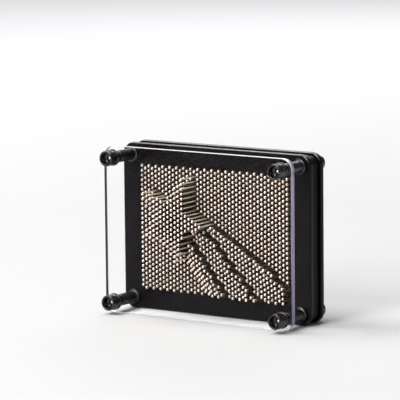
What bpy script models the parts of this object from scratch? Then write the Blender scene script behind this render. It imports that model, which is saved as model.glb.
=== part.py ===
"""Pin art impression toy, standing on its long bottom edge.

+Z is up, +X is to the right as seen from the front, and the clear window
faces -Y.  The origin is the middle of the footprint, on the surface that the
toy stands on.  Everything is in metres.

The toy is a sandwich on four long screws: four round knobs, a clear window,
four spacer posts, a front pin plate, a closed side ring with four inner
posts, a rear pin plate and four rear knobs.  The pins slide through both pin
plates along Y.  They are grouped here into banks: each bank is one block of
neighbouring pins, with a wider head layer in front of the front plate and a
narrower shank block that slides through a window in each plate.
"""
import bpy
import bmesh
import math
from mathutils import Vector

# ------------------------------------------------------------ dimensions (m)
MM = 0.001
WIDTH = 178 * MM            # outer size of the window and of both plates
HEIGHT = 136 * MM
CORNER_R = 9 * MM

# stack along Y, counted from the front face of the window
WINDOW_T = 5.0 * MM
PLATE_T = 4.5 * MM
FRONT_PLATE_Y = 28.0 * MM   # front face of the front pin plate
RING_DEPTH = 11.0 * MM
FIT = 0.3 * MM              # gap between clamped faces
REAR_PLATE_Y = FRONT_PLATE_Y + PLATE_T + FIT + RING_DEPTH + FIT
REAR_FACE_Y = REAR_PLATE_Y + PLATE_T
KNOB_L = 10.5 * MM
REAR_KNOB_L = 7.0 * MM
KNOB_D = 12.6 * MM
KNOB_INSET = 9.2 * MM       # knob axis from the outer edges
POST_D = 9.6 * MM
POST_FLANGE_D = 12.6 * MM
POST_FLANGE_T = 2.4 * MM
RING_INSET = 2.0 * MM
RING_WALL = 3.0 * MM
SCREW_D = 3.0 * MM
SCREW_HOLE_D = 4.0 * MM
SEGMENTS = 20

# pins
TRAVEL = 19.5 * MM          # from resting on the front plate to the window
HEAD_T = 2.2 * MM
HEAD_BACK_Y = FRONT_PLATE_Y - FIT
TAIL_LEFT = 1.5 * MM        # what still stands out behind at full travel
SHANK_L = REAR_FACE_Y + TRAVEL + TAIL_LEFT - HEAD_BACK_Y
FIELD_W = 142.4 * MM        # pin field, centred on the plates
FIELD_H = 104.0 * MM
BANK_GAP = 0.4 * MM         # between the head layers of two banks
SHANK_INSET = 1.4 * MM      # head outline to shank outline
SLIDE_FIT = 0.35 * MM       # shank to plate window, each side

# the impression: a five-pointed star, pushed out by STAR_RAISE, and three
# low trails that fan out from it.  In millimetres on the face, from its middle
STAR_CENTRE = (-31.0, 9.0)
STAR_ARMS = ((70.0, 41.0, 15.0), (-2.0, 33.5, 17.0), (-78.0, 36.0, 18.0),
             (-151.0, 32.0, 17.0), (-219.0, 35.0, 17.0))   # angle, tip, notch
STAR_RAISE = 18.4 * MM
TRAIL_2 = ((2.8, -6.1), (46.2, -52.3))       # ridge lines of trails 2 and 3
TRAIL_3 = ((-8.7, -19.7), (16.3, -51.4))
TRAIL_1_END = -36.0                          # height of ridge 1 at the right
TRAIL_STRIP = 6.5                            # width of a crest or slope strip
CREST_RAISE = 8.0 * MM
SLOPE_RAISE = 5.5 * MM

# the frame's origin in that stack
FRONT_Y = -KNOB_L - FIT
BACK_Y = HEAD_BACK_Y + SHANK_L
MID_Y = (FRONT_Y + BACK_Y) / 2
MID_Z = HEIGHT / 2

for old in list(bpy.data.objects):
    bpy.data.objects.remove(old, do_unlink=True)


# ----------------------------------------------------------------- materials
def material(name, colour, roughness, metallic=0.0, alpha=1.0):
    mat = bpy.data.materials.new(name)
    mat.use_nodes = True
    shader = mat.node_tree.nodes["Principled BSDF"]
    shader.inputs["Base Color"].default_value = (*colour, 1.0)
    shader.inputs["Roughness"].default_value = roughness
    shader.inputs["Metallic"].default_value = metallic
    shader.inputs["Alpha"].default_value = alpha
    return mat


BLACK = material("black_plastic", (0.018, 0.018, 0.020), 0.32)
KNOB_BLACK = material("knob_black", (0.014, 0.014, 0.015), 0.22)
CLEAR = material("clear_acrylic", (0.93, 0.95, 0.98), 0.03, alpha=0.25)
STEEL = material("screw_steel", (0.62, 0.62, 0.60), 0.25, 1.0)
PIN = material("pin_metal", (0.80, 0.75, 0.64), 0.22, 1.0)

toy = bpy.data.objects.new("toy", None)
bpy.context.collection.objects.link(toy)


# -------------------------------------------------------------------- helpers
def add_object(name, bm, mat, origin, smooth=True):
    """A mesh object whose origin is `origin`, given in stack coordinates."""
    shift = Vector(origin)
    bmesh.ops.translate(bm, verts=bm.verts, vec=-shift)
    bmesh.ops.recalc_face_normals(bm, faces=bm.faces)
    mesh = bpy.data.meshes.new(name)
    bm.to_mesh(mesh)
    bm.free()
    mesh.materials.append(mat)
    if smooth:
        mesh.shade_smooth()
        mesh.set_sharp_from_angle(angle=math.radians(35))
    obj = bpy.data.objects.new(name, mesh)
    bpy.context.collection.objects.link(obj)
    obj.parent = toy
    obj.location = shift + Vector((0.0, -MID_Y, MID_Z))
    return obj


def turned(bm, profile, x, z, segments=SEGMENTS):
    """Turn a closed (radius, y) profile about the Y axis through x, z."""
    rings = []
    for radius, y in profile:
        if radius < 1e-7:
            rings.append([bm.verts.new((x, y, z))])
            continue
        ring = []
        for k in range(segments):
            a = 2 * math.pi * k / segments
            ring.append(bm.verts.new((x + radius * math.cos(a), y,
                                      z + radius * math.sin(a))))
        rings.append(ring)
    count = len(rings)
    closed = profile[0][0] > 1e-7
    for i in range(count if closed else count - 1):
        a, b = rings[i], rings[(i + 1) % count]
        for k in range(segments):
            k2 = (k + 1) % segments
            corners = [a[k % len(a)], a[k2 % len(a)], b[k2 % len(b)],
                       b[k % len(b)]]
            face = []
            for v in corners:
                if v not in face:
                    face.append(v)
            bm.faces.new(face)


def rounded_outline(width, height, radius, steps=7):
    """Counter-clockwise (x, z) points of a rounded rectangle about 0, 0."""
    points = []
    for cx, cz, start in ((1, 1, 0), (-1, 1, 90), (-1, -1, 180), (1, -1, 270)):
        for k in range(steps + 1):
            a = math.radians(start + 90 * k / steps)
            points.append((cx * (width / 2 - radius) + radius * math.cos(a),
                           cz * (height / 2 - radius) + radius * math.sin(a)))
    return points


def prism(bm, layers):
    """Skin (y, outline) layers whose outlines have equal numbers of points."""
    rings = [[bm.verts.new((x, y, z)) for x, z in outline]
             for y, outline in layers]
    bm.faces.new(rings[0])
    for a, b in zip(rings, rings[1:]):
        for k in range(len(a)):
            k2 = (k + 1) % len(a)
            bm.faces.new((a[k], a[k2], b[k2], b[k]))
    bm.faces.new(list(reversed(rings[-1])))


def slab_layers(width, height, radius, y0, y1, chamfer):
    """Layers of a flat slab with chamfered front and rear edges."""
    small = rounded_outline(width - 2 * chamfer, height - 2 * chamfer,
                            radius - chamfer)
    full = rounded_outline(width, height, radius)
    return [(y0, small), (y0 + chamfer, full), (y1 - chamfer, full),
            (y1, small)]


def difference(obj, cutter):
    cutter.hide_render = True
    cutter.display_type = 'WIRE'
    mod = obj.modifiers.new("cut_" + cutter.name, 'BOOLEAN')
    mod.operation = 'DIFFERENCE'
    mod.solver = 'EXACT'
    mod.object = cutter


# ------------------------------------------------------- polygons on the face
def clip(polygon, point, normal):
    """Keep the side of a counter-clockwise polygon that `normal` points to."""
    kept = []
    for k, (x0, z0) in enumerate(polygon):
        x1, z1 = polygon[(k + 1) % len(polygon)]
        d0 = (x0 - point[0]) * normal[0] + (z0 - point[1]) * normal[1]
        d1 = (x1 - point[0]) * normal[0] + (z1 - point[1]) * normal[1]
        if d0 >= 0:
            kept.append((x0, z0))
        if (d0 > 0 > d1) or (d0 < 0 < d1):
            t = d0 / (d0 - d1)
            kept.append((x0 + t * (x1 - x0), z0 + t * (z1 - z0)))
    return tidy(kept)


def tidy(polygon, shortest=0.9):
    """Drop the second end of each edge that is too short to keep."""
    out = []
    for p in polygon:
        if not out or math.dist(p, out[-1]) > shortest:
            out.append(p)
    if len(out) > 1 and math.dist(out[0], out[-1]) <= shortest:
        out.pop()
    return out


def split(polygon, a, b, offset=0.0):
    """Cut a polygon along the line a-b moved `offset` to its right.

    Returns the piece on the left of that line and the piece on its right.
    """
    dx, dz = b[0] - a[0], b[1] - a[1]
    length = math.hypot(dx, dz)
    right = (dz / length, -dx / length)
    point = (a[0] + right[0] * offset, a[1] + right[1] * offset)
    return (clip(polygon, point, (-right[0], -right[1])),
            clip(polygon, point, right))


def inset(polygon, distance):
    """Move every edge of a counter-clockwise polygon inwards."""
    lines = []
    for k, (x0, z0) in enumerate(polygon):
        x1, z1 = polygon[(k + 1) % len(polygon)]
        length = math.hypot(x1 - x0, z1 - z0)
        dx, dz = (x1 - x0) / length, (z1 - z0) / length
        lines.append((x0 - dz * distance, z0 + dx * distance, dx, dz))
    out = []
    for k in range(len(lines)):
        px, pz, dx, dz = lines[k - 1]
        qx, qz, ex, ez = lines[k]
        cross = dx * ez - dz * ex
        if abs(cross) < 1e-3:
            out.append((qx, qz))
            continue
        t = ((qx - px) * ez - (qz - pz) * ex) / cross
        out.append((px + dx * t, pz + dz * t))
    return out


def centroid(polygon):
    area = cx = cz = 0.0
    for k, (x0, z0) in enumerate(polygon):
        x1, z1 = polygon[(k + 1) % len(polygon)]
        cross = x0 * z1 - x1 * z0
        area += cross / 2
        cx += (x0 + x1) * cross / 6
        cz += (z0 + z1) * cross / 6
    return cx / area, cz / area


def bank_outlines():
    """Name, outline in mm and raise in m of every bank of pins."""
    hw, hh = FIELD_W / MM / 2, FIELD_H / MM / 2
    cx, cz = STAR_CENTRE
    tips, notches = [], []
    for k, (angle, tip, notch) in enumerate(STAR_ARMS):
        nxt = STAR_ARMS[(k + 1) % 5][0] - (360 if k == 4 else 0)
        a, m = math.radians(angle), math.radians((angle + nxt) / 2)
        tips.append((cx + tip * math.cos(a), cz + tip * math.sin(a)))
        notches.append((cx + notch * math.cos(m), cz + notch * math.sin(m)))
    banks = []
    arms = ("top", "right", "bottom", "lower_left", "upper_left")
    for k, arm in enumerate(arms):
        kite = [STAR_CENTRE, notches[k], tips[k], notches[k - 1]]
        banks.append(("star_bank_" + arm, kite, STAR_RAISE))

    # lines that run on from the tips to the edge of the field
    top = (tips[0][0] + (hh - tips[0][1]) / math.tan(math.radians(58.0)), hh)
    ridge_1_end = (hw, TRAIL_1_END)
    below = (tips[2][0], -hh)
    left_low = (-hw, tips[3][1] - (tips[3][0] + hw)
                * math.tan(math.radians(31.0)))
    left_high = (-hw, tips[4][1] + (tips[4][0] + hw)
                 * math.tan(math.radians(35.0)))

    # upper right: five cells
    sector = [top, tips[0], notches[0], tips[1], ridge_1_end, (hw, hh)]
    inner, rest = split(sector, (20.0, -hh), (20.0, hh))
    middle, outer = split(rest, (45.5, -hh), (45.5, hh))
    middle_high, middle_low = split(middle, (-hw, 16.0), (hw, 16.0))
    outer_high, outer_low = split(outer, (-hw, 12.0), (hw, 12.0))
    banks += [("pin_bank_top_centre", inner, 0.0),
              ("pin_bank_top_right_inner", middle_high, 0.0),
              ("pin_bank_middle_right_inner", middle_low, 0.0),
              ("pin_bank_top_right_outer", outer_high, 0.0),
              ("pin_bank_middle_right_outer", outer_low, 0.0)]

    # lower right: three trails, each a crest and the slopes behind it
    sector = [tips[1], notches[1], tips[2], below, (hw, -hh), ridge_1_end]
    zone_1, rest = split(sector, *TRAIL_2)
    zone_2, zone_3 = split(rest, *TRAIL_3)
    fan_start, fan_end = zone_1[1], (hw, TRAIL_1_END - 1.25 * TRAIL_STRIP)
    crest_1, rest_1 = split(zone_1, fan_start, fan_end)
    slope_1, flat_1 = split(rest_1, fan_start, fan_end, TRAIL_STRIP)
    crest_2, slope_2 = split(zone_2, *TRAIL_2, TRAIL_STRIP)
    crest_3, rest_3 = split(zone_3, *TRAIL_3, TRAIL_STRIP)
    slope_3, flat_3 = split(rest_3, *TRAIL_3, 2.4 * TRAIL_STRIP)
    banks += [("trail_1_crest_bank", crest_1, CREST_RAISE),
              ("trail_1_slope_bank", slope_1, SLOPE_RAISE),
              ("trail_1_foot_bank", flat_1, SLOPE_RAISE),
              ("trail_2_crest_bank", crest_2, CREST_RAISE),
              ("trail_2_slope_bank", slope_2, SLOPE_RAISE),
              ("trail_3_crest_bank", crest_3, CREST_RAISE),
              ("trail_3_slope_bank", slope_3, SLOPE_RAISE),
              ("pin_bank_bottom_centre", flat_3, 0.0)]

    # lower left, left and upper left
    sector = [tips[2], notches[2], tips[3], left_low, (-hw, -hh), below]
    low_left, low_right = split(sector, (-46.0, -hh), (-46.0, hh))
    banks += [("pin_bank_bottom_left_outer", low_left, 0.0),
              ("pin_bank_bottom_left_inner", low_right, 0.0)]
    banks.append(("pin_bank_left",
                  [tips[3], notches[3], tips[4], left_high, left_low], 0.0))
    sector = [tips[4], notches[4], tips[0], top, (-hw, hh), left_high]
    high_left, high_right = split(sector, (-38.0, -hh), (-38.0, hh))
    banks += [("pin_bank_top_left_outer", high_left, 0.0),
              ("pin_bank_top_left_inner", high_right, 0.0)]
    return banks


def metres(polygon):
    return [(x * MM, z * MM) for x, z in polygon]


# ------------------------------------------------------------------ the frame
KNOB_X = WIDTH / 2 - KNOB_INSET
KNOB_Z = HEIGHT / 2 - KNOB_INSET
CORNERS = (("top_left", -KNOB_X, KNOB_Z), ("top_right", KNOB_X, KNOB_Z),
           ("bottom_left", -KNOB_X, -KNOB_Z),
           ("bottom_right", KNOB_X, -KNOB_Z))


def screw_hole_cutter(name, y0, y1, diameter):
    bm = bmesh.new()
    for _, x, z in CORNERS:
        turned(bm, [(0, y0), (diameter / 2, y0), (diameter / 2, y1), (0, y1)],
               x, z, 20)
    cutter = add_object(name, bm, BLACK, (0, 0, 0), smooth=False)
    return cutter


bm = bmesh.new()
prism(bm, slab_layers(WIDTH, HEIGHT, CORNER_R, 0.0, WINDOW_T, 0.4 * MM))
window = add_object("front_window", bm, CLEAR, (0, 0, 0))
difference(window, screw_hole_cutter("window_holes", -0.002, WINDOW_T + 0.002,
                                     SCREW_HOLE_D))

BANKS = bank_outlines()
bm = bmesh.new()
for name, outline, raise_ in BANKS:
    hole = metres(inset(outline, BANK_GAP / MM / 2 + SHANK_INSET / MM
                        - SLIDE_FIT / MM))
    prism(bm, [(FRONT_PLATE_Y - 0.002, hole), (REAR_FACE_Y + 0.002, hole)])
bank_windows = add_object("bank_windows", bm, BLACK, (0, 0, 0), smooth=False)
plate_holes = screw_hole_cutter("plate_holes", FRONT_PLATE_Y - 0.002,
                                REAR_FACE_Y + 0.002, SCREW_HOLE_D)

for name, y0 in (("front_pin_plate", FRONT_PLATE_Y),
                 ("rear_pin_plate", REAR_PLATE_Y)):
    bm = bmesh.new()
    prism(bm, slab_layers(WIDTH, HEIGHT, CORNER_R, y0, y0 + PLATE_T,
                          0.5 * MM))
    plate = add_object(name, bm, BLACK, (0, y0, 0))
    difference(plate, bank_windows)
    difference(plate, plate_holes)

# side ring: a closed wall between the two plates, a little inside their edge
bm = bmesh.new()
ring_y0 = FRONT_PLATE_Y + PLATE_T + FIT
ring_y1 = ring_y0 + RING_DEPTH
outer = rounded_outline(WIDTH - 2 * RING_INSET, HEIGHT - 2 * RING_INSET,
                        CORNER_R - RING_INSET)
inner = rounded_outline(WIDTH - 2 * (RING_INSET + RING_WALL),
                        HEIGHT - 2 * (RING_INSET + RING_WALL),
                        CORNER_R - RING_INSET - RING_WALL)
loops = [[bm.verts.new((x, y, z)) for x, z in outline]
         for y, outline in ((ring_y0, outer), (ring_y1, outer),
                            (ring_y1, inner), (ring_y0, inner))]
for k in range(4):
    a, b = loops[k], loops[(k + 1) % 4]
    for i in range(len(a)):
        j = (i + 1) % len(a)
        bm.faces.new((a[i], a[j], b[j], b[i]))
add_object("side_ring", bm, BLACK, (0, ring_y0, 0))

r_knob, r_bore = KNOB_D / 2, SCREW_HOLE_D / 2
for corner, x, z in CORNERS:
    # front knob: a dished cap with a raised rim and a collar at the window
    face = -KNOB_L - FIT
    bm = bmesh.new()
    turned(bm, [(r_bore, -FIT), (r_knob + 0.5 * MM, -FIT),
                (r_knob + 0.5 * MM, -FIT - 1.2 * MM),
                (r_knob, -FIT - 1.7 * MM), (r_knob, face + 0.7 * MM),
                (r_knob - 0.7 * MM, face), (r_knob - 1.5 * MM, face),
                (r_knob - 1.9 * MM, face + 5.2 * MM),
                (r_bore, face + 6.0 * MM)], x, z)
    add_object("front_knob_" + corner, bm, KNOB_BLACK, (x, face, z))

    # window spacer: a post with a flange against the front plate
    y0, y1 = WINDOW_T + FIT, FRONT_PLATE_Y - FIT
    bm = bmesh.new()
    turned(bm, [(r_bore, y0), (POST_D / 2, y0),
                (POST_D / 2, y1 - POST_FLANGE_T - 0.6 * MM),
                (POST_FLANGE_D / 2 - 0.6 * MM, y1 - POST_FLANGE_T),
                (POST_FLANGE_D / 2, y1 - POST_FLANGE_T + 0.6 * MM),
                (POST_FLANGE_D / 2, y1), (r_bore, y1)], x, z)
    add_object("window_spacer_" + corner, bm, KNOB_BLACK, (x, y0, z))

    # inner post between the plates
    bm = bmesh.new()
    turned(bm, [(r_bore, ring_y0), (3.4 * MM, ring_y0), (3.4 * MM, ring_y1),
                (r_bore, ring_y1)], x, z, 16)
    add_object("inner_post_" + corner, bm, BLACK, (x, ring_y0, z))

    # rear knob, a shorter cap facing backwards
    base, tip = REAR_FACE_Y + FIT, REAR_FACE_Y + FIT + REAR_KNOB_L
    bm = bmesh.new()
    turned(bm, [(r_bore, base), (r_knob + 0.5 * MM, base),
                (r_knob + 0.5 * MM, base + 1.2 * MM),
                (r_knob, base + 1.7 * MM), (r_knob, tip - 0.7 * MM),
                (r_knob - 0.7 * MM, tip), (r_knob - 1.5 * MM, tip),
                (r_knob - 1.9 * MM, tip - 2.0 * MM),
                (r_bore, tip - 2.6 * MM)], x, z)
    add_object("rear_knob_" + corner, bm, KNOB_BLACK, (x, base, z))

    # tie screw through the whole stack, its domed ends in the knobs' dishes
    s0, s1, r = face + 5.0 * MM, tip - 1.8 * MM, SCREW_D / 2
    bm = bmesh.new()
    turned(bm, [(0, s0), (r * 0.6, s0 + 0.15 * MM), (r, s0 + 0.6 * MM),
                (r, s1 - 0.6 * MM), (r * 0.6, s1 - 0.15 * MM), (0, s1)],
           x, z, 12)
    add_object("tie_screw_" + corner, bm, STEEL, (x, s0, z))

# ------------------------------------------------------------------- the pins
for name, outline, raise_ in BANKS:
    head = metres(inset(outline, BANK_GAP / MM / 2))
    shank = metres(inset(outline, BANK_GAP / MM / 2 + SHANK_INSET / MM))
    back = HEAD_BACK_Y - raise_
    bm = bmesh.new()
    prism(bm, [(back - HEAD_T, head), (back, head), (back, shank),
               (back + SHANK_L, shank)])
    cx, cz = centroid(head)
    add_object(name, bm, PIN, (cx, back, cz), smooth=False)
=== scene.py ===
"""Looks of the pin art impression toy.

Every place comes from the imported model's boxes.  The pin field, drawn as 23
sliding blocks in the frame, is built here as 1,092 separate pins, each riding
on the bank whose outline holds it, and the two pin plates are really drilled.
"""

import math
import random

import bmesh
import bpy
import numpy as np
from mathutils import Matrix, Vector


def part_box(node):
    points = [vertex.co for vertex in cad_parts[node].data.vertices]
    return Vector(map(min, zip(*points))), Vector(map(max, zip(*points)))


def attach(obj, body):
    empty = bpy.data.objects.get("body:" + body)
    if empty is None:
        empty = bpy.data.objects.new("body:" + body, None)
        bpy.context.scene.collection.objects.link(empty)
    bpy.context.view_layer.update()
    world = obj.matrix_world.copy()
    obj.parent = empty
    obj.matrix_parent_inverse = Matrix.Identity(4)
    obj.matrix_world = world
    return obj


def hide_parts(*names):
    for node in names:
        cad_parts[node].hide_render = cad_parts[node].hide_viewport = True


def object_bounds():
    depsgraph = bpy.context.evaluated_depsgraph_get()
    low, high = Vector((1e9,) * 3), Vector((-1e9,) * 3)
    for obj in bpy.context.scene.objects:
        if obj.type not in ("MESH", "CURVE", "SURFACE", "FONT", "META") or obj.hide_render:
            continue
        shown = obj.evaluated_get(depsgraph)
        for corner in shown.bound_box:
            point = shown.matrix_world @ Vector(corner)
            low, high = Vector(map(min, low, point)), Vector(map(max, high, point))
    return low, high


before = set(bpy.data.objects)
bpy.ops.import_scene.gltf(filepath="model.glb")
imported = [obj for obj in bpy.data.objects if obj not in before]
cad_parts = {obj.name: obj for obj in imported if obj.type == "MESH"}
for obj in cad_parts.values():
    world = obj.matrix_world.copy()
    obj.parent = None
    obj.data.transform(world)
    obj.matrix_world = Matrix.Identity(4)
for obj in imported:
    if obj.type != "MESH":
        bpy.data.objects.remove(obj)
CAD_LO, CAD_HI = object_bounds()

MM = 0.001
RNG = random.Random(4711)


# ------------------------------------------------------------ places, from CAD
def span(node):
    lo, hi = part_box(node)
    return Vector(lo), Vector(hi)


WIN_LO, WIN_HI = span("front_window")
PLATE_LO, PLATE_HI = span("front_pin_plate")
REAR_LO, REAR_HI = span("rear_pin_plate")
RING_LO, RING_HI = span("side_ring")
MID_Z = (WIN_LO.z + WIN_HI.z) / 2
CORNER_R = 9 * MM
CORNERS = ("top_left", "top_right", "bottom_left", "bottom_right")
SCREW_HOLE_R = 2.0 * MM

# pin lattice: 42 staggered columns of 26 pins
COLUMNS, ROWS = 42, 26
PITCH_X, PITCH_Z = 3.38 * MM, 3.92 * MM
HALF_W = (COLUMNS - 1) * PITCH_X / 2
HALF_H = (ROWS - 0.5) * PITCH_Z / 2
HOLE_R = 0.66 * MM
SHAFT_R = 0.52 * MM
HEAD_R = 1.30 * MM
HEAD_T = 2.2 * MM
HEAD_BACK = PLATE_LO.y - 0.3 * MM      # under side of the head of a pin at rest
SHANK_L = span("pin_bank_left")[1].y - HEAD_BACK

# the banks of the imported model, in millimetres on the face, from its middle
FIELD_W, FIELD_H = 142.4, 104.0
STAR_CENTRE = (-31.0, 9.0)
STAR_ARMS = ((70.0, 41.0, 15.0), (-2.0, 33.5, 17.0), (-78.0, 36.0, 18.0),
             (-151.0, 32.0, 17.0), (-219.0, 35.0, 17.0))
TRAIL_2 = ((2.8, -6.1), (46.2, -52.3))
TRAIL_3 = ((-8.7, -19.7), (16.3, -51.4))
TRAIL_1_END = -36.0
TRAIL_STRIP = 6.5
STAR_RAISE = 18.4


def clip(polygon, point, normal):
    kept = []
    for k, (x0, z0) in enumerate(polygon):
        x1, z1 = polygon[(k + 1) % len(polygon)]
        d0 = (x0 - point[0]) * normal[0] + (z0 - point[1]) * normal[1]
        d1 = (x1 - point[0]) * normal[0] + (z1 - point[1]) * normal[1]
        if d0 >= 0:
            kept.append((x0, z0))
        if (d0 > 0 > d1) or (d0 < 0 < d1):
            t = d0 / (d0 - d1)
            kept.append((x0 + t * (x1 - x0), z0 + t * (z1 - z0)))
    out = []
    for p in kept:
        if not out or math.dist(p, out[-1]) > 0.9:
            out.append(p)
    if len(out) > 1 and math.dist(out[0], out[-1]) <= 0.9:
        out.pop()
    return out


def split(polygon, a, b, offset=0.0):
    dx, dz = b[0] - a[0], b[1] - a[1]
    length = math.hypot(dx, dz)
    right = (dz / length, -dx / length)
    point = (a[0] + right[0] * offset, a[1] + right[1] * offset)
    return (clip(polygon, point, (-right[0], -right[1])),
            clip(polygon, point, right))


def bank_outlines():
    """Name, outline and kind of every bank; ridge lines for the trails."""
    hw, hh = FIELD_W / 2, FIELD_H / 2
    cx, cz = STAR_CENTRE
    tips, notches = [], []
    for k, (angle, tip, notch) in enumerate(STAR_ARMS):
        nxt = STAR_ARMS[(k + 1) % 5][0] - (360 if k == 4 else 0)
        a, m = math.radians(angle), math.radians((angle + nxt) / 2)
        tips.append((cx + tip * math.cos(a), cz + tip * math.sin(a)))
        notches.append((cx + notch * math.cos(m), cz + notch * math.sin(m)))
    banks = []
    arms = ("top", "right", "bottom", "lower_left", "upper_left")
    for k, arm in enumerate(arms):
        banks.append(("star_bank_" + arm,
                      [STAR_CENTRE, notches[k], tips[k], notches[k - 1]],
                      "star"))
    top = (tips[0][0] + (hh - tips[0][1]) / math.tan(math.radians(58.0)), hh)
    ridge_1_end = (hw, TRAIL_1_END)
    below = (tips[2][0], -hh)
    left_low = (-hw, tips[3][1] - (tips[3][0] + hw)
                * math.tan(math.radians(31.0)))
    left_high = (-hw, tips[4][1] + (tips[4][0] + hw)
                 * math.tan(math.radians(35.0)))
    sector = [top, tips[0], notches[0], tips[1], ridge_1_end, (hw, hh)]
    inner, rest = split(sector, (20.0, -hh), (20.0, hh))
    middle, outer = split(rest, (45.5, -hh), (45.5, hh))
    middle_high, middle_low = split(middle, (-hw, 16.0), (hw, 16.0))
    outer_high, outer_low = split(outer, (-hw, 12.0), (hw, 12.0))
    banks += [("pin_bank_top_centre", inner, "flat"),
              ("pin_bank_top_right_inner", middle_high, "flat"),
              ("pin_bank_middle_right_inner", middle_low, "flat"),
              ("pin_bank_top_right_outer", outer_high, "flat"),
              ("pin_bank_middle_right_outer", outer_low, "flat")]
    sector = [tips[1], notches[1], tips[2], below, (hw, -hh), ridge_1_end]
    zone_1, rest = split(sector, *TRAIL_2)
    zone_2, zone_3 = split(rest, *TRAIL_3)
    fan_start, fan_end = zone_1[1], (hw, TRAIL_1_END - 1.25 * TRAIL_STRIP)
    crest_1, rest_1 = split(zone_1, fan_start, fan_end)
    slope_1, flat_1 = split(rest_1, fan_start, fan_end, TRAIL_STRIP)
    crest_2, slope_2 = split(zone_2, *TRAIL_2, TRAIL_STRIP)
    crest_3, rest_3 = split(zone_3, *TRAIL_3, TRAIL_STRIP)
    slope_3, flat_3 = split(rest_3, *TRAIL_3, 2.4 * TRAIL_STRIP)
    ridge_1 = (tips[1], ridge_1_end)
    banks += [("trail_1_crest_bank", crest_1, ridge_1),
              ("trail_1_slope_bank", slope_1, ridge_1),
              ("trail_1_foot_bank", flat_1, ridge_1),
              ("trail_2_crest_bank", crest_2, TRAIL_2),
              ("trail_2_slope_bank", slope_2, TRAIL_2),
              ("trail_3_crest_bank", crest_3, TRAIL_3),
              ("trail_3_slope_bank", slope_3, TRAIL_3),
              ("pin_bank_bottom_centre", flat_3, "flat")]
    sector = [tips[2], notches[2], tips[3], left_low, (-hw, -hh), below]
    low_left, low_right = split(sector, (-46.0, -hh), (-46.0, hh))
    banks += [("pin_bank_bottom_left_outer", low_left, "flat"),
              ("pin_bank_bottom_left_inner", low_right, "flat"),
              ("pin_bank_left",
               [tips[3], notches[3], tips[4], left_high, left_low], "flat")]
    sector = [tips[4], notches[4], tips[0], top, (-hw, hh), left_high]
    high_left, high_right = split(sector, (-38.0, -hh), (-38.0, hh))
    banks += [("pin_bank_top_left_outer", high_left, "flat"),
              ("pin_bank_top_left_inner", high_right, "flat")]
    return banks


BANKS = bank_outlines()


def depth_inside(point, polygon):
    """Distance to a polygon's edge: positive inside, negative outside."""
    x, z = point
    inside, nearest = False, 1e9
    for k, (x0, z0) in enumerate(polygon):
        x1, z1 = polygon[(k + 1) % len(polygon)]
        if (z0 > z) != (z1 > z) and x < x0 + (z - z0) * (x1 - x0) / (z1 - z0):
            inside = not inside
        dx, dz = x1 - x0, z1 - z0
        t = max(0.0, min(1.0, ((x - x0) * dx + (z - z0) * dz)
                         / (dx * dx + dz * dz)))
        nearest = min(nearest, math.hypot(x - x0 - t * dx, z - z0 - t * dz))
    return nearest if inside else -nearest


def pin_places():
    """(x, z) of every pin from the middle of the face, by column and row."""
    for i in range(COLUMNS):
        for j in range(ROWS):
            yield (i, j, -HALF_W + i * PITCH_X,
                   HALF_H - j * PITCH_Z - (PITCH_Z / 2 if i % 2 else 0.0))


# --------------------------------------------------------------------- camera
def make_camera():
    """Right of the toy and a little above it, with a long lens."""
    azimuth, elevation = math.radians(34.029), math.radians(8.3849)
    roll = math.radians(-0.583)
    back = Vector((math.sin(azimuth) * math.cos(elevation),
                   -math.cos(azimuth) * math.cos(elevation),
                   math.sin(elevation)))
    right = Vector((0, 0, 1)).cross(back).normalized()
    up = back.cross(right)
    right_2 = math.cos(roll) * right + math.sin(roll) * up
    up_2 = -math.sin(roll) * right + math.cos(roll) * up
    data = bpy.data.cameras.new("camera")
    data.sensor_width = 36.0
    data.lens = 7.26 * 36.0
    data.clip_start, data.clip_end = 0.05, 100.0
    camera = bpy.data.objects.new("camera", data)
    bpy.context.scene.collection.objects.link(camera)
    place = back * 2.2936 + Vector((0.0052, WIN_LO.y, MID_Z + 0.0296))
    place += up_2 * 0.0008 - right_2 * 0.0010
    matrix = Matrix((right_2, up_2, back)).transposed().to_4x4()
    matrix.translation = place
    camera.matrix_world = matrix
    bpy.context.scene.camera = camera


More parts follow.
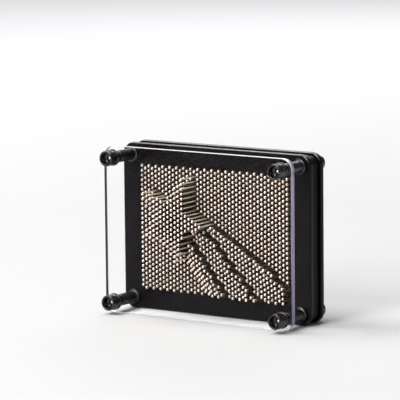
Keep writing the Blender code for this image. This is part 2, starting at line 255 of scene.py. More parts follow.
# ------------------------------------------------------------------ materials
class Nodes:
    """Small helper that strings shader nodes together."""

    def __init__(self, name):
        self.mat = bpy.data.materials.new(name)
        self.mat.use_nodes = True
        self.tree = self.mat.node_tree
        self.shader = self.tree.nodes["Principled BSDF"]
        self.out = self.tree.nodes["Material Output"]

    def new(self, kind, **settings):
        node = self.tree.nodes.new(kind)
        for key, value in settings.items():
            if key in node.inputs:
                node.inputs[key].default_value = value
            else:
                setattr(node, key, value)
        return node

    def link(self, a, b):
        self.tree.links.new(a, b)

    def set(self, **values):
        for key, value in values.items():
            self.shader.inputs[key.replace("_", " ")].default_value = value

    def coords(self, scale=(1, 1, 1)):
        place = self.new("ShaderNodeTexCoord")
        mapping = self.new("ShaderNodeMapping")
        mapping.inputs["Scale"].default_value = scale
        self.link(place.outputs["Object"], mapping.inputs["Vector"])
        return mapping.outputs["Vector"]

    def noise(self, scale, detail=4.0, rough=0.5, vector=None):
        node = self.new("ShaderNodeTexNoise")
        node.inputs["Scale"].default_value = scale
        node.inputs["Detail"].default_value = detail
        node.inputs["Roughness"].default_value = rough
        self.link(vector or self.coords(), node.inputs["Vector"])
        return node.outputs["Fac"]

    def remap(self, value, a, b, c, d, clamp=True):
        node = self.new("ShaderNodeMapRange", clamp=clamp)
        for key, number in (("From Min", a), ("From Max", b), ("To Min", c),
                            ("To Max", d)):
            node.inputs[key].default_value = number
        self.link(value, node.inputs["Value"])
        return node.outputs["Result"]

    def math(self, operation, a, b):
        node = self.new("ShaderNodeMath", operation=operation)
        for socket, value in ((node.inputs[0], a), (node.inputs[1], b)):
            if isinstance(value, (int, float)):
                socket.default_value = value
            else:
                self.link(value, socket)
        return node.outputs[0]

    def mix(self, factor, a, b):
        node = self.new("ShaderNodeMix", data_type='RGBA')
        self.link(factor, node.inputs["Factor"])
        for socket, value in ((node.inputs[6], a), (node.inputs[7], b)):
            if isinstance(value, tuple):
                socket.default_value = (*value, 1.0)
            else:
                self.link(value, socket)
        return node.outputs[2]

    def bump(self, height, strength, distance, normal=None):
        node = self.new("ShaderNodeBump")
        node.inputs["Strength"].default_value = strength
        node.inputs["Distance"].default_value = distance
        self.link(height, node.inputs["Height"])
        if normal is not None:
            self.link(normal, node.inputs["Normal"])
        return node.outputs["Normal"]


def moulded_black(name, base, light, rough, grain, specular, coat=0.0):
    """Black moulded plastic: fine grain, uneven gloss and a few faint rubs."""
    n = Nodes(name)
    n.set(IOR=1.40, Specular_IOR_Level=specular, Coat_Weight=coat,
          Coat_Roughness=0.10)
    cloud = n.noise(22.0, 3.0, 0.5)
    patch = n.remap(cloud, 0.35, 0.7, 0.0, 1.0)
    n.link(n.mix(patch, base, light), n.shader.inputs["Base Color"])
    rub = n.noise(1.0, 6.0, 0.65, n.coords((40.0, 300.0, 220.0)))
    gloss = n.math('ADD', n.remap(cloud, 0.3, 0.7, rough - 0.02, rough + 0.03),
                   n.remap(rub, 0.55, 0.75, 0.0, 0.03))
    n.link(gloss, n.shader.inputs["Roughness"])
    fine = n.bump(n.noise(90.0, 2.0, 0.5), grain, 0.0002)
    n.link(fine, n.shader.inputs["Normal"])
    return n.mat


def pin_metal(name, light, dark, rough, metallic):
    """Plated steel, a little warm, from bright to dark by a per-vertex attribute that
    holds random tone and painted shade.
    """
    n = Nodes(name)
    n.set(Metallic=metallic, Specular_IOR_Level=0.5)
    shade = n.new("ShaderNodeAttribute", attribute_name="pin_tone_and_painted_shade")
    blotch = n.noise(420.0, 3.0, 0.55)
    mixed = n.math('ADD', shade.outputs["Fac"],
                   n.remap(blotch, 0.35, 0.7, 0.0, 0.15))
    mixed = n.math('MINIMUM', mixed, 1.0)
    n.link(n.mix(mixed, light, dark), n.shader.inputs["Base Color"])
    n.link(n.remap(blotch, 0.3, 0.7, rough - 0.03, rough + 0.05),
           n.shader.inputs["Roughness"])
    return n.mat


def clear_sheet(name):
    """Polished acrylic, with the faintest wipe marks."""
    n = Nodes(name)
    n.set(Roughness=0.0, IOR=1.20, Transmission_Weight=1.0,
          Specular_Tint=(0.0, 0.0, 0.0, 1.0))
    wipe = n.noise(1.0, 2.0, 0.5, n.coords((8.0, 8.0, 60.0)))
    n.link(n.mix(n.remap(wipe, 0.4, 0.7, 0.0, 1.0), (0.985, 0.985, 1.0),
                 (0.972, 0.972, 0.990)), n.shader.inputs["Base Color"])
    # lamps reach what is behind the sheet
    path = n.new("ShaderNodeLightPath")
    clear = n.new("ShaderNodeBsdfTransparent")
    clear.inputs["Color"].default_value = (0.95, 0.95, 0.96, 1.0)
    mix = n.new("ShaderNodeMixShader")
    n.link(path.outputs["Is Shadow Ray"], mix.inputs[0])
    n.link(n.shader.outputs[0], mix.inputs[1])
    n.link(clear.outputs[0], mix.inputs[2])
    n.link(mix.outputs[0], n.out.inputs["Surface"])
    return n.mat


def sheet_edge(name):
    """Polished edge of the sheet, with painted light and shade: violet, painted paler
    towards its top and dark on its left, with a white painted highlight along its top, a
    pale one along its bottom and a painted dark band round its upper right corner."""
    n = Nodes(name)
    n.set(IOR=1.40, Transmission_Weight=0.15, Coat_Weight=0.3,
          Coat_Roughness=0.05)
    place = n.new("ShaderNodeTexCoord")
    split_xyz = n.new("ShaderNodeSeparateXYZ")
    n.link(place.outputs["Object"], split_xyz.inputs["Vector"])
    x, z = split_xyz.outputs["X"], split_xyz.outputs["Z"]
    y = split_xyz.outputs["Y"]
    streak = n.noise(1.0, 4.0, 0.6, n.coords((90.0, 2200.0, 90.0)))
    low, high = WIN_LO.z, WIN_HI.z
    # painted light and shade on the edge: paler towards the top, dark near the left end,
    # white along the top and pale along the bottom
    tone = n.mix(n.remap(z, low + 0.015, high - 0.012, 0.0, 1.0),
                 (0.22, 0.185, 0.37), (0.46, 0.45, 0.66))
    tone = n.mix(n.remap(x, WIN_LO.x + 0.010, WIN_LO.x + 0.004, 0.0, 1.0),
                 tone, (0.10, 0.09, 0.13))
    tone = n.mix(n.remap(z, high - 0.0098, high - 0.0085, 0.0, 1.0), tone,
                 (0.93, 0.91, 0.95))
    tone = n.mix(n.remap(z, low + 0.006, low + 0.004, 0.0, 1.0), tone,
                 (0.80, 0.84, 0.90))
    tone = n.mix(n.remap(streak, 0.4, 0.65, 0.0, 0.12), tone,
                 (0.95, 0.95, 1.0))
    # painted shade: a dark band runs round the upper right corner, behind its front rim
    painted_dark_band = n.math('MULTIPLY',
                  n.remap(y, WIN_LO.y + 0.0026, WIN_LO.y + 0.0030, 0.0, 1.0),
                  n.remap(y, WIN_LO.y + 0.0037, WIN_LO.y + 0.0041, 1.0, 0.0))
    painted_dark_band = n.math('MULTIPLY', painted_dark_band,
                  n.remap(x, WIN_HI.x - 0.0085, WIN_HI.x - 0.0060, 0.0, 1.0))
    painted_dark_band = n.math('MULTIPLY', painted_dark_band,
                  n.remap(z, high - 0.0150, high - 0.0120, 0.0, 1.0))
    tone = n.mix(painted_dark_band, tone, (0.02, 0.018, 0.03))
    n.link(tone, n.shader.inputs["Base Color"])
    n.link(n.remap(streak, 0.3, 0.7, 0.24, 0.36), n.shader.inputs["Roughness"])
    return n.mat


def bright_steel(name):
    n = Nodes(name)
    n.set(Metallic=1.0)
    turned_marks = n.noise(1.0, 3.0, 0.5, n.coords((300.0, 4000.0, 300.0)))
    n.link(n.mix(n.remap(turned_marks, 0.3, 0.7, 0.0, 1.0),
                 (0.86, 0.85, 0.86), (0.70, 0.69, 0.69)),
           n.shader.inputs["Base Color"])
    n.link(n.remap(turned_marks, 0.3, 0.7, 0.16, 0.30),
           n.shader.inputs["Roughness"])
    n.link(n.bump(turned_marks, 0.1, 0.00003), n.shader.inputs["Normal"])
    return n.mat


PLATE_BLACK = moulded_black("plate_black", (0.0038, 0.0030, 0.0037),
                            (0.0048, 0.0038, 0.0046), 0.30, 0.02, 0.165)
# painted light: the plate face round the pin holes is painted a lighter brown, standing in
# for light thrown onto it by the pin heads
PLATE_PAINTED_PIN_LIGHT = moulded_black("plate_between_pins_painted_light", (0.024, 0.016, 0.013),
                            (0.030, 0.020, 0.016), 0.38, 0.02, 0.17)
# the rounded rims: a coated, glossier copy of the plate black, a little lighter in colour
# as a painted highlight
PLATE_RIM_PAINTED_HIGHLIGHT = moulded_black("plate_rim_painted_highlight", (0.0070, 0.0058, 0.0074),
                          (0.0090, 0.0076, 0.0094), 0.22, 0.02, 0.50, 1.0)
RING_BLACK = moulded_black("ring_black", (0.0042, 0.0033, 0.0034),
                           (0.0054, 0.0042, 0.0044), 0.38, 0.03, 0.14)
KNOB_BLACK = moulded_black("knob_black", (0.0040, 0.0034, 0.0038),
                           (0.0054, 0.0046, 0.0052), 0.18, 0.02, 0.45, 0.5)
PIN_HEAD = pin_metal("pin_head", (1.0, 0.90, 0.79), (0.28, 0.180, 0.120),
                     0.30, 0.85)
PIN_SHAFT = pin_metal("pin_shaft", (1.0, 0.91, 0.70), (0.050, 0.030, 0.019),
                      0.30, 0.30)
POST_BLACK = moulded_black("post_black", (0.0060, 0.0052, 0.0060),
                           (0.0076, 0.0066, 0.0074), 0.30, 0.02, 0.60, 0.3)
CLEAR = clear_sheet("clear_acrylic")
EDGE = sheet_edge("acrylic_edge")
STEEL = bright_steel("screw_steel")


# -------------------------------------------------------------------- helpers
def finish_object(name, verts, faces, materials, body, replaced,
                  face_materials=None, angle=35.0, flat_break=False):
    """Make a piece from lists, shade it, and hang it on its body."""
    mesh = bpy.data.meshes.new(name)
    mesh.from_pydata([tuple(v) for v in verts], [], faces)
    mesh.validate()
    bm = bmesh.new()
    bm.from_mesh(mesh)
    bmesh.ops.recalc_face_normals(bm, faces=bm.faces)
    limit = math.radians(angle)
    for edge in bm.edges:
        if len(edge.link_faces) != 2:
            edge.smooth = False
            continue
        sharp = edge.calc_face_angle(0.0) > limit
        if flat_break and not sharp:
            flats = [abs(f.normal.y) > 0.99995 for f in edge.link_faces]
            sharp = flats[0] != flats[1]
        edge.smooth = not sharp
    for face in bm.faces:
        face.smooth = True
    if face_materials:
        bm.faces.ensure_lookup_table()
        for face, index in zip(bm.faces, face_materials):
            face.material_index = index
    bm.to_mesh(mesh)
    bm.free()
    for material in materials:
        mesh.materials.append(material)
    obj = bpy.data.objects.new(name, mesh)
    bpy.context.scene.collection.objects.link(obj)
    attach(obj, body)
    if replaced:
        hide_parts(*replaced)
    return obj


def rounded_outline(width, height, radius, steps=12):
    """Counter-clockwise (x, z) points of a rounded rectangle about the face."""
    points = []
    for cx, cz, start in ((1, 1, 0), (-1, 1, 90), (-1, -1, 180), (1, -1, 270)):
        for k in range(steps + 1):
            a = math.radians(start + 90 * k / steps)
            points.append((cx * (width / 2 - radius) + radius * math.cos(a),
                           MID_Z + cz * (height / 2 - radius)
                           + radius * math.sin(a)))
    return points


def lathe(profile, x, z, segments=56, start=0.0):
    """Turn a closed (radius, y) profile about the Y axis through x, z."""
    verts, rings = [], []
    for radius, y in profile:
        if radius < 1e-8:
            rings.append([len(verts)])
            verts.append((x, y, z))
            continue
        ring = []
        for k in range(segments):
            a = 2 * math.pi * k / segments + start
            ring.append(len(verts))
            verts.append((x + radius * math.cos(a), y,
                          z + radius * math.sin(a)))
        rings.append(ring)
    faces = []
    closed = profile[0][0] > 1e-8
    for i in range(len(rings) if closed else len(rings) - 1):
        a, b = rings[i], rings[(i + 1) % len(rings)]
        for k in range(segments):
            k2 = (k + 1) % segments
            corners = [a[k % len(a)], a[k2 % len(a)], b[k2 % len(b)],
                       b[k % len(b)]]
            face = []
            for v in corners:
                if v not in face:
                    face.append(v)
            faces.append(face)
    return verts, faces


def arc(cr, cy, radius, start, end, steps):
    """Points of an arc in (radius, y); angles in degrees from +radius to +y."""
    return [(cr + radius * math.cos(math.radians(start + (end - start) * k
                                                 / steps)),
             cy + radius * math.sin(math.radians(start + (end - start) * k
                                                 / steps)))
            for k in range(steps + 1)]


# --------------------------------------------------- window and drilled plates
def fill_between(loops, y):
    """Triangles between an outer loop and the loops inside it."""
    bm = bmesh.new()
    for loop in loops:
        ring = [bm.verts.new((x, y, z)) for x, z in loop]
        for k in range(len(ring)):
            bm.edges.new((ring[k], ring[(k + 1) % len(ring)]))
    bm.verts.index_update()
    bmesh.ops.triangle_fill(bm, edges=bm.edges, use_beauty=True,
                            use_dissolve=False, normal=(0, -1, 0))
    bm.verts.ensure_lookup_table()
    verts = [tuple(v.co) for v in bm.verts]
    faces = [[v.index for v in f.verts] for f in bm.faces]
    bm.free()
    return verts, faces


class Welder:
    """Collects faces and shares the vertices that fall on the same point."""

    def __init__(self):
        self.verts, self.index, self.faces, self.kinds = [], {}, [], []

    def vert(self, p):
        key = (round(p[0] * 1e7), round(p[1] * 1e7), round(p[2] * 1e7))
        if key not in self.index:
            self.index[key] = len(self.verts)
            self.verts.append(p)
        return self.index[key]

    def face(self, points, kind=0):
        ids = []
        for p in points:
            i = self.vert(p)
            if i not in ids:
                ids.append(i)
        if len(ids) > 2:
            self.faces.append(ids)
            self.kinds.append(kind)


def circle(x, z, radius, count, start=0.0):
    return [(x + radius * math.cos(2 * math.pi * k / count + start),
             z + radius * math.sin(2 * math.pi * k / count + start))
            for k in range(count)]


def slab(lo, hi, fillet, steps, holes, drilled=False, hole_soft=0.0):
    """A flat slab with rounded rims and screw holes; drilled for every pin."""
    w = Welder()
    width, height = hi.x - lo.x, hi.z - lo.z

    def outline(inset):
        return rounded_outline(width - 2 * inset, height - 2 * inset,
                               CORNER_R - inset)

    layers = []
    for k in range(steps + 1):
        a = math.radians(90 * k / steps)
        layers.append((lo.y + fillet * (1 - math.sin(a)),
                       outline(fillet * (1 - math.cos(a)))))
    layers.reverse()                  # the front rim, from the face outwards
    layers.sort(key=lambda item: item[0])
    rear = [(lo.y + hi.y - y, points) for y, points in reversed(layers)]
    layers += rear
    for i, ((y0, a), (y1, b)) in enumerate(zip(layers, layers[1:])):
        for k in range(len(a)):
            k2 = (k + 1) % len(a)
            # painted shade: down the right side the plates' rounded rims keep the darker
            # plate black (kind 3) instead of the lighter rim colour
            shaded_right_side = a[k][0] > hi.x - 2 * MM and a[k][1] < hi.z - 6 * MM
            w.face([(a[k][0], y0, a[k][1]), (a[k2][0], y0, a[k2][1]),
                    (b[k2][0], y1, b[k2][1]), (b[k][0], y1, b[k][1])],
                   1 if i == steps else 3 if shaded_right_side else 2)
    loops = [layers[0][1]]
    rings = [circle(x, z, SCREW_HOLE_R, 32) for x, z in holes]
    loops += rings
    cells = []
    if drilled:
        b = (PITCH_X ** 2 + PITCH_Z ** 2 / 4) / (2 * PITCH_X)
        a = (PITCH_X ** 2 - PITCH_Z ** 2 / 4) / (2 * PITCH_X)
        hexagon = [(b, 0.0), (a, PITCH_Z / 2), (-a, PITCH_Z / 2), (-b, 0.0),
                   (-a, -PITCH_Z / 2), (a, -PITCH_Z / 2)]
        edges = {}
        corner = {}

        def key(p):
            return (round(p[0] * 1e6), round(p[1] * 1e6))

        for i, j, x, z in pin_places():
            z += MID_Z
            points = [(x + p, z + q) for p, q in hexagon]
            keys = []
            for p in points:
                found = None
                k0 = key(p)
                for dx in (-1, 0, 1):
                    for dz in (-1, 0, 1):
                        found = found or corner.get((k0[0] + dx, k0[1] + dz))
                if found is None:
                    corner[k0] = (k0, p)
                    found = corner[k0]
                keys.append(found)
            cells.append((x, z, [p for _, p in keys]))
            for k in range(6):
                e = (keys[k][0], keys[(k + 1) % 6][0])
                if (e[1], e[0]) in edges:
                    del edges[(e[1], e[0])]
                else:
                    edges[e] = (keys[k][1], keys[(k + 1) % 6][1])
        chain = {e[0]: (e[1], p[0]) for e, p in edges.items()}
        start = min(chain)
        loop, at = [], start
        while True:
            nxt, point = chain[at]
            loop.append(point)
            at = nxt
            if at == start:
                break
        loops.append(loop)
    for y in (lo.y, hi.y):
        verts, faces = fill_between(loops, y)
        for f in faces:
            points = [verts[i] for i in f]
            if drilled:
                cx = sum(p[0] for p in points) / 3
                cz = sum(p[2] for p in points) / 3
                if depth_inside((cx, cz), loops[-1]) > 0:
                    continue
            w.face(points, 0)
        # kind 4 is the face round each pin hole; on the plates it takes the painted light
        # from the pin heads
        for x, z, corners in cells:
            ring = circle(x, z, HOLE_R, 12)
            for k in range(6):
                p, q = corners[k], corners[(k + 1) % 6]
                g = [ring[(2 * k + m) % 12] for m in range(3)]
                for tri in ((p, g[0], g[1]), (p, g[1], q), (q, g[1], g[2])):
                    w.face([(u, y, v) for u, v in tri], 4)
    walls = rings + [circle(x, z, HOLE_R, 12) for x, z, _ in cells]
    for ring in walls:
        for k in range(len(ring)):
            p, q = ring[k], ring[(k + 1) % len(ring)]
            w.face([(p[0], lo.y, p[1]), (q[0], lo.y, q[1]),
                    (q[0], hi.y, q[1]), (p[0], hi.y, p[1])], 0)
    return w


SCREWS = {}
for corner_name in CORNERS:
    s_lo, s_hi = span("tie_screw_" + corner_name)
    SCREWS[corner_name] = ((s_lo.x + s_hi.x) / 2, (s_lo.z + s_hi.z) / 2)
SCREW_PLACES = list(SCREWS.values())

w = slab(WIN_LO, WIN_HI, 0.3 * MM, 3, SCREW_PLACES)
finish_object("window_sheet", w.verts, w.faces, [CLEAR, EDGE, CLEAR, CLEAR],
              "frame", ["front_window"],
              face_materials=w.kinds, flat_break=True)

for piece, node, low, high in (
        ("front_plate_drilled", "front_pin_plate", PLATE_LO, PLATE_HI),
        ("rear_plate_drilled", "rear_pin_plate", REAR_LO, REAR_HI)):
    w = slab(low, high, 0.9 * MM, 4, SCREW_PLACES, drilled=True)
    finish_object(piece, w.verts, w.faces,
                  [PLATE_BLACK, PLATE_BLACK, PLATE_RIM_PAINTED_HIGHLIGHT, PLATE_BLACK,
                   PLATE_PAINTED_PIN_LIGHT], "frame", [node],
                  face_materials=w.kinds, flat_break=True)

# side ring: a wall with softly broken rims and a shallow step along its middle
ring_w, ring_h = RING_HI.x - RING_LO.x, RING_HI.z - RING_LO.z
ring_r = CORNER_R - (PLATE_HI.x - RING_HI.x)
wall_t = 3.0 * MM
section = [(0.35, 0.0), (0.1, 0.1), (0.0, 0.35), (0.0, 3.9), (0.25, 4.15),
           (0.25, 5.25), (0.0, 5.5), (0.0, 9.05), (0.1, 9.3), (0.35, 9.4),
           (2.7, 9.4), (2.92, 9.32), (3.0, 9.1), (3.0, 0.3), (2.92, 0.08),
           (2.7, 0.0)]
scale_y = (RING_HI.y - RING_LO.y) / (9.4 * MM)
w = Welder()
layers = []
for inset_mm, y_mm in section:
    d = inset_mm * MM
    layers.append((RING_LO.y + y_mm * MM * scale_y,
                   rounded_outline(ring_w - 2 * d, ring_h - 2 * d,
                                   ring_r - d, 16)))
for k0 in range(len(layers)):
    (y0, a), (y1, b) = layers[k0], layers[(k0 + 1) % len(layers)]
    for k in range(len(a)):
        k2 = (k + 1) % len(a)
        w.face([(a[k][0], y0, a[k][1]), (a[k2][0], y0, a[k2][1]),
                (b[k2][0], y1, b[k2][1]), (b[k][0], y1, b[k][1])])
finish_object("side_ring_wall", w.verts, w.faces, [RING_BLACK], "frame",
              ["side_ring"])


# ------------------------------------------------ knobs, posts and tie screws
def front_knob_profile(base, tip):
    """Moulded cap, from its collar at `base` to its dished rim at `tip`."""
    points = [(2.0, 0.0), (6.5, 0.0), (6.72, 0.08), (6.8, 0.28), (6.8, 0.9),
              (6.72, 1.1), (6.45, 1.2), (6.1, 1.28), (6.02, 1.42),
              (6.02, 1.72), (6.1, 1.86), (6.3, 1.92), (6.4, 2.06),
              (6.4, 2.5), (6.3, 2.64), (6.1, 2.7), (6.02, 2.84),
              (6.02, 3.1), (6.12, 3.26), (6.25, 3.34), (6.3, 3.5),
              (6.3, 8.0), (6.22, 8.12), (6.22, 8.3), (6.3, 8.42),
              (6.3, 9.7)]
    points += [(5.55 + 0.75 * math.cos(math.radians(a)),
                9.75 + 0.75 * math.sin(math.radians(a)))
               for a in (0, 20, 40, 60, 80, 90)]
    points += [(5.2, 10.5), (4.85, 10.42), (4.6, 10.2), (4.45, 9.8),
               (4.3, 6.2), (4.2, 5.75), (3.9, 5.45), (3.4, 5.32),
               (2.5, 5.26), (2.2, 5.15), (2.0, 4.5)]
    way = 1 if tip > base else -1
    return [(r * MM, base + way * t * MM * abs(tip - base) / (10.5 * MM))
            for r, t in points]


def rear_knob_profile(base, tip):
    """Low round nut cap behind the rear plate."""
    points = [(2.0, 0.0), (6.5, 0.0), (6.72, 0.08), (6.8, 0.28), (6.8, 0.9),
              (6.72, 1.1), (6.45, 1.2), (6.32, 1.3), (6.3, 1.5), (6.3, 6.2)]
    points += [(5.55 + 0.75 * math.cos(math.radians(a)),
                6.25 + 0.75 * math.sin(math.radians(a)))
               for a in (0, 20, 40, 60, 80, 90)]
    points += [(5.0, 7.0), (4.7, 6.92), (4.5, 6.7), (4.4, 6.3), (4.3, 5.1),
               (4.1, 4.85), (3.6, 4.7), (2.5, 4.64), (2.2, 4.55), (2.0, 4.2)]
    way = 1 if tip > base else -1
    return [(r * MM, base + way * t * MM * abs(tip - base) / (7.0 * MM))
            for r, t in points]


for corner_name in CORNERS:
    x, z = SCREWS[corner_name]
    lo, hi = span("front_knob_" + corner_name)
    v, f = lathe(front_knob_profile(hi.y, lo.y), x, z, 72)
    finish_object("front_knob_cap_" + corner_name, v, f, [KNOB_BLACK], "frame",
                  ["front_knob_" + corner_name], angle=50)
    lo, hi = span("rear_knob_" + corner_name)
    v, f = lathe(rear_knob_profile(lo.y, hi.y), x, z, 72)
    finish_object("rear_knob_cap_" + corner_name, v, f, [KNOB_BLACK], "frame",
                  ["rear_knob_" + corner_name], angle=50)

    # spacer post: two rings near the window, a stepped flange at the plate
    lo, hi = span("window_spacer_" + corner_name)
    post = [(2.0, 0.0), (4.5, 0.0), (4.73, 0.1), (4.8, 0.3), (4.8, 1.5),
            (4.68, 1.66), (4.52, 1.72), (4.46, 1.86), (4.46, 2.3),
            (4.54, 2.44), (4.72, 2.52), (4.8, 2.7), (4.8, 18.9),
            (4.86, 19.3), (5.05, 19.6), (5.4, 19.85), (5.9, 20.0),
            (6.12, 20.08), (6.27, 20.25), (6.3, 20.5), (6.3, 21.9),
            (6.22, 22.2), (6.0, 22.4), (2.0, 22.4)]
    length = hi.y - lo.y
    v, f = lathe([(r * MM, lo.y + t * MM * length / (22.4 * MM))
                  for r, t in post], x, z, 56)
    finish_object("spacer_post_" + corner_name, v, f, [POST_BLACK], "frame",
                  ["window_spacer_" + corner_name], angle=50)

    lo, hi = span("inner_post_" + corner_name)
    length = hi.y - lo.y
    v, f = lathe([(2.0 * MM, lo.y), (3.2 * MM, lo.y),
                  (3.4 * MM, lo.y + 0.2 * MM), (3.4 * MM, hi.y - 0.2 * MM),
                  (3.2 * MM, hi.y), (2.0 * MM, hi.y)], x, z, 40)
    finish_object("inner_tube_" + corner_name, v, f, [RING_BLACK], "frame",
                  ["inner_post_" + corner_name])

    # tie screw with a rolled thread and rounded bright ends
    lo, hi = span("tie_screw_" + corner_name)
    profile = [(0.0, lo.y), (0.45 * MM, lo.y + 0.03 * MM),
               (0.9 * MM, lo.y + 0.14 * MM), (1.25 * MM, lo.y + 0.36 * MM),
               (1.42 * MM, lo.y + 0.62 * MM)]
    y, crest = lo.y + 0.9 * MM, True
    while y < hi.y - 0.9 * MM:
        threaded = y < lo.y + 9 * MM or y > hi.y - 9 * MM
        profile.append(((1.5 if crest or not threaded else 1.28) * MM, y))
        crest = not crest
        y += 0.25 * MM if threaded else 4.0 * MM
    profile += [(1.42 * MM, hi.y - 0.62 * MM), (1.25 * MM, hi.y - 0.36 * MM),
                (0.9 * MM, hi.y - 0.14 * MM), (0.45 * MM, hi.y - 0.03 * MM),
                (0.0, hi.y)]
    v, f = lathe(profile, x, z, 28)
    finish_object("tie_rod_" + corner_name, v, f, [STEEL], "frame",
                  ["tie_screw_" + corner_name], angle=50)


# ------------------------------------------------------------------- the pins
TAIL = 22.0 * MM      # from here back a shaft gets no painted shade and takes its head's tone and metal, so it stays bright


def pin_mesh(segments=14):
    """One pin along Y; y = 0 is the under side of its head."""
    r = HEAD_R
    profile = [(0.0, -HEAD_T), (0.30 * r, -HEAD_T + 0.05 * MM),
               (0.56 * r, -HEAD_T + 0.17 * MM),
               (0.78 * r, -HEAD_T + 0.38 * MM),
               (0.94 * r, -HEAD_T + 0.68 * MM),
               (r, -HEAD_T + 1.00 * MM), (0.96 * r, -0.85 * MM),
               (0.82 * r, -0.50 * MM), (0.60 * r, -0.22 * MM),
               (SHAFT_R, -0.10 * MM), (SHAFT_R, 1.6 * MM),
               (SHAFT_R, 3.2 * MM), (SHAFT_R, 9.0 * MM),
               (SHAFT_R, 19.0 * MM), (SHAFT_R, TAIL),
               (SHAFT_R, SHANK_L - 0.50 * MM),
               (0.85 * SHAFT_R, SHANK_L - 0.22 * MM),
               (0.5 * SHAFT_R, SHANK_L - 0.05 * MM), (0.0, SHANK_L)]
    v, f = lathe(profile, 0.0, 0.0, segments)
    return np.array(v), f


PIN_V, PIN_F = pin_mesh()
PIN_KIND = [1 if -0.2 * MM < min(PIN_V[k, 1] for k in f) < TAIL - 0.1 * MM
            else 0 for f in PIN_F]


NEXT_RIDGE = {"trail_1": TRAIL_2, "trail_2": TRAIL_3}


def distance(line, x, z):
    """Distance from a ridge line, in mm."""
    (x0, z0), (x1, z1) = line
    return (abs((x - x0) * (z1 - z0) - (z - z0) * (x1 - x0))
            / math.hypot(x1 - x0, z1 - z0))


def pin_height(kind, name, x, z):
    """How far a pin stands forward of rest, in mm."""
    if kind == "star":
        return STAR_RAISE + RNG.uniform(-0.30, 0.0)
    if kind == "flat":
        return abs(RNG.gauss(0.0, 0.10))
    d = distance(kind, x, z)
    ahead = NEXT_RIDGE.get(name[:7])
    groove = ahead is not None and distance(ahead, x, z) < 4.2
    if "crest" in name:
        if groove:
            return 5.6
        return RNG.uniform(6.2, 9.0) if d < 4.0 else RNG.uniform(6.6, 8.1)
    fall, rough = (0.55, 0.5) if ahead is None else (0.07, 0.15)
    top = 0.7 if groove else 7.0 - fall * (d - TRAIL_STRIP)
    return max(0.6, min(7.2, top + RNG.gauss(0.0, rough)))


fields = {name: [] for name, _, _ in BANKS}
kinds = {name: kind for name, _, kind in BANKS}
star_pins = set()
for i, j, px, pz in pin_places():
    best = max(BANKS, key=lambda bank: depth_inside((px / MM, pz / MM),
                                                    bank[1]))[0]
    fields[best].append((i, j, px, pz))
    if kinds[best] == "star":
        star_pins.add((i, j))


def shaft_painted_shade(kind, i, j, x, z):
    """Painted shade along a shaft, as (depth, shade) from under its head.

    A star pin is painted bright where no other star pin stands up and to its right,
    dull where only the lower right is open, and dark elsewhere, as if in shade.
    A flat pin, or a trail pin more than a strip from its ridge, is painted dark
    all along; nearer its ridge a trail pin is painted bright for a short way under
    its head and dark beyond.
    """
    dark = ((0.0, 0.97), (50.0, 0.97))
    if kind == "flat":
        return dark
    if kind == "star":
        fade = RNG.uniform(0.1, 0.4)
        if (i + 1, j - 1 + i % 2) not in star_pins:
            return ((0.0, 0.0), (9.0, 0.4 * fade), (19.0, fade), (50.0, 0.9))
        if (i + 1, j + i % 2) not in star_pins:
            return ((0.0, 0.60), (9.0, 0.76), (19.0, 0.88), (50.0, 0.97))
        return dark
    d = distance(kind, x, z)
    if d > TRAIL_STRIP:
        return dark
    reach = RNG.uniform(0.2, 2.4 if d < 4.0 else 1.2)
    return ((0.0, 0.0), (reach, 0.35), (reach + 0.8, 0.95), (50.0, 0.97))


def lean_centre(kind, name):
    """The place on a pin that is midway between its two holes when its bank
    is halfway along its travel."""
    if kind == "flat":
        travel = (0.0, 19.5)
    elif kind == "star":
        travel = (-18.4, 1.1)
    elif "crest" in name:
        travel = (-5.6, 10.5)
    else:
        travel = (-0.6, 12.3)
    return ((PLATE_LO.y + REAR_HI.y) / 2 + sum(travel) / 2 * MM) - HEAD_BACK


for name, places in fields.items():
    pivot = lean_centre(kinds[name], name)
    all_v, all_f, shades, pin_kinds = [], [], [], []
    for i, j, px, pz in places:
        raised = pin_height(kinds[name], name, px / MM, pz / MM) * MM
        turn = RNG.uniform(0, math.tau)
        # a pin leans only as far as its holes let it, all along its travel
        tilt_x, tilt_z = RNG.gauss(0, 0.0035), RNG.gauss(0, 0.0035)
        lean = min(1.0, 0.0052 / max(1e-9, math.hypot(tilt_x, tilt_z)))
        tilt_x, tilt_z = tilt_x * lean, tilt_z * lean
        c, s = math.cos(turn), math.sin(turn)
        v = PIN_V.copy()
        vx, vz = v[:, 0] * c - v[:, 2] * s, v[:, 0] * s + v[:, 2] * c
        depth = v[:, 1] - raised
        v[:, 0] = px + vx + tilt_x * (depth - pivot)
        v[:, 2] = MID_Z + pz + vz + tilt_z * (depth - pivot)
        v[:, 1] = HEAD_BACK + depth
        base = sum(len(part) for part in all_v)
        all_v.append(v)
        all_f += [[base + k for k in f] for f in PIN_F]
        # painted shade: each head is painted darker down its left and right flanks, so it
        # is brightest down its middle; a shaft is painted bright only where it stands at
        # the edge of a raised group, and painted dark, as in shade, elsewhere
        head = min(0.35, max(0.0, RNG.gauss(0.08, 0.10)))
        flank_painted_shade = np.clip(np.abs(vx / HEAD_R + 0.15) - 0.45, 0.0, 1.0) * 2.2
        stops = shaft_painted_shade(kinds[name], i, j, px / MM, pz / MM)
        shaft = np.interp(PIN_V[:, 1] / MM, *zip(*stops))
        shaft = np.where(PIN_V[:, 1] > TAIL - 0.1 * MM, head, shaft)
        shades.append(np.where(PIN_V[:, 1] > -0.15 * MM, shaft, head + flank_painted_shade))
        pin_kinds += PIN_KIND
    obj = finish_object("pins_" + name, np.concatenate(all_v), all_f,
                        [PIN_HEAD, PIN_SHAFT], name, [name],
                        face_materials=pin_kinds, angle=50)
    shade = obj.data.attributes.new("pin_tone_and_painted_shade", 'FLOAT', 'POINT')
    shade.data.foreach_set("value", np.concatenate(shades).astype(np.float32))

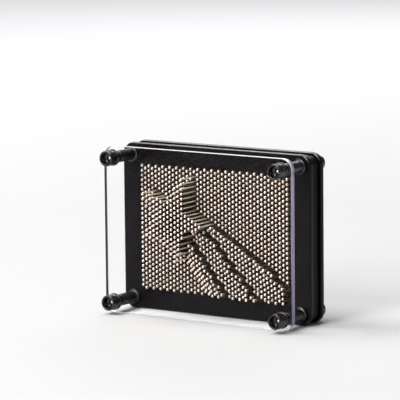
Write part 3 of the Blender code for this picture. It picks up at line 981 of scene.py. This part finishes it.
# ---------------------------------------------------------- floor and lighting
def make_stage():
    bm = bmesh.new()
    bmesh.ops.create_grid(bm, x_segments=24, y_segments=24, size=15.0)
    mesh = bpy.data.meshes.new("floor")
    bm.to_mesh(mesh)
    bm.free()
    n = Nodes("pale_floor")
    # painted shade: the floor is painted a slightly deeper tone near the middle, under the
    # lamps, which keeps its lit brightness even
    place = n.new("ShaderNodeTexCoord")
    far = n.new("ShaderNodeVectorMath", operation='LENGTH')
    n.link(place.outputs["Object"], far.inputs[0])
    n.link(n.mix(n.remap(far.outputs["Value"], 0.6, 5.0, 0.0, 1.0),
                 (0.56, 0.56, 0.56), (0.84, 0.84, 0.84)),
           n.shader.inputs["Base Color"])
    n.set(Roughness=0.8, Specular_IOR_Level=0.05)
    mesh.materials.append(n.mat)
    floor = bpy.data.objects.new("floor", mesh)
    bpy.context.scene.collection.objects.link(floor)
    floor.location = (0, 0, CAD_LO.z - 0.0002)


def area_light(name, place, target, size, size_y, power, colour=(1, 1, 1)):
    data = bpy.data.lights.new(name, 'AREA')
    data.shape = 'RECTANGLE'
    data.size, data.size_y = size, size_y
    data.energy = power
    data.color = colour
    obj = bpy.data.objects.new(name, data)
    bpy.context.scene.collection.objects.link(obj)
    place, target = Vector(place), Vector(target)
    obj.location = place
    obj.rotation_euler = (target - place).to_track_quat('-Z', 'Y').to_euler()
    return obj


def make_lights():
    centre = (0.0, 0.0, MID_Z)
    area_light("high_left_box", (-1.95, -0.40, 2.95), centre, 1.7, 1.5, 85.0,
               (1.0, 0.99, 0.97))
    area_light("front_box", (-0.35, -2.6, 1.65), centre, 1.1, 2.2, 75.0,
               (1.0, 0.99, 0.97))
    area_light("back_left_strip", (-1.3, 2.6, 1.3), centre, 1.4, 0.7, 12.0,
               (0.93, 0.92, 1.0))
    area_light("back_high_strip", (-0.45, 2.3, 1.75), centre, 1.0, 0.7, 9.0,
               (0.96, 0.94, 1.0))
    data = bpy.data.lights.new("overhead", 'SUN')
    data.energy, data.angle = 1.7, math.radians(40.0)
    sun = bpy.data.objects.new("overhead", data)
    bpy.context.scene.collection.objects.link(sun)
    sun.rotation_euler = (math.radians(-8.0), math.radians(-12.0), 0.0)
    world = bpy.data.worlds.new("studio")
    world.use_nodes = True
    background = world.node_tree.nodes["Background"]
    background.inputs["Color"].default_value = (0.94, 0.93, 1.0, 1.0)
    background.inputs["Strength"].default_value = 0.16
    bpy.context.scene.world = world
    bpy.context.scene.view_settings.view_transform = 'Standard'
    bpy.context.scene.view_settings.look = 'None'


make_camera()
make_stage()
make_lights()
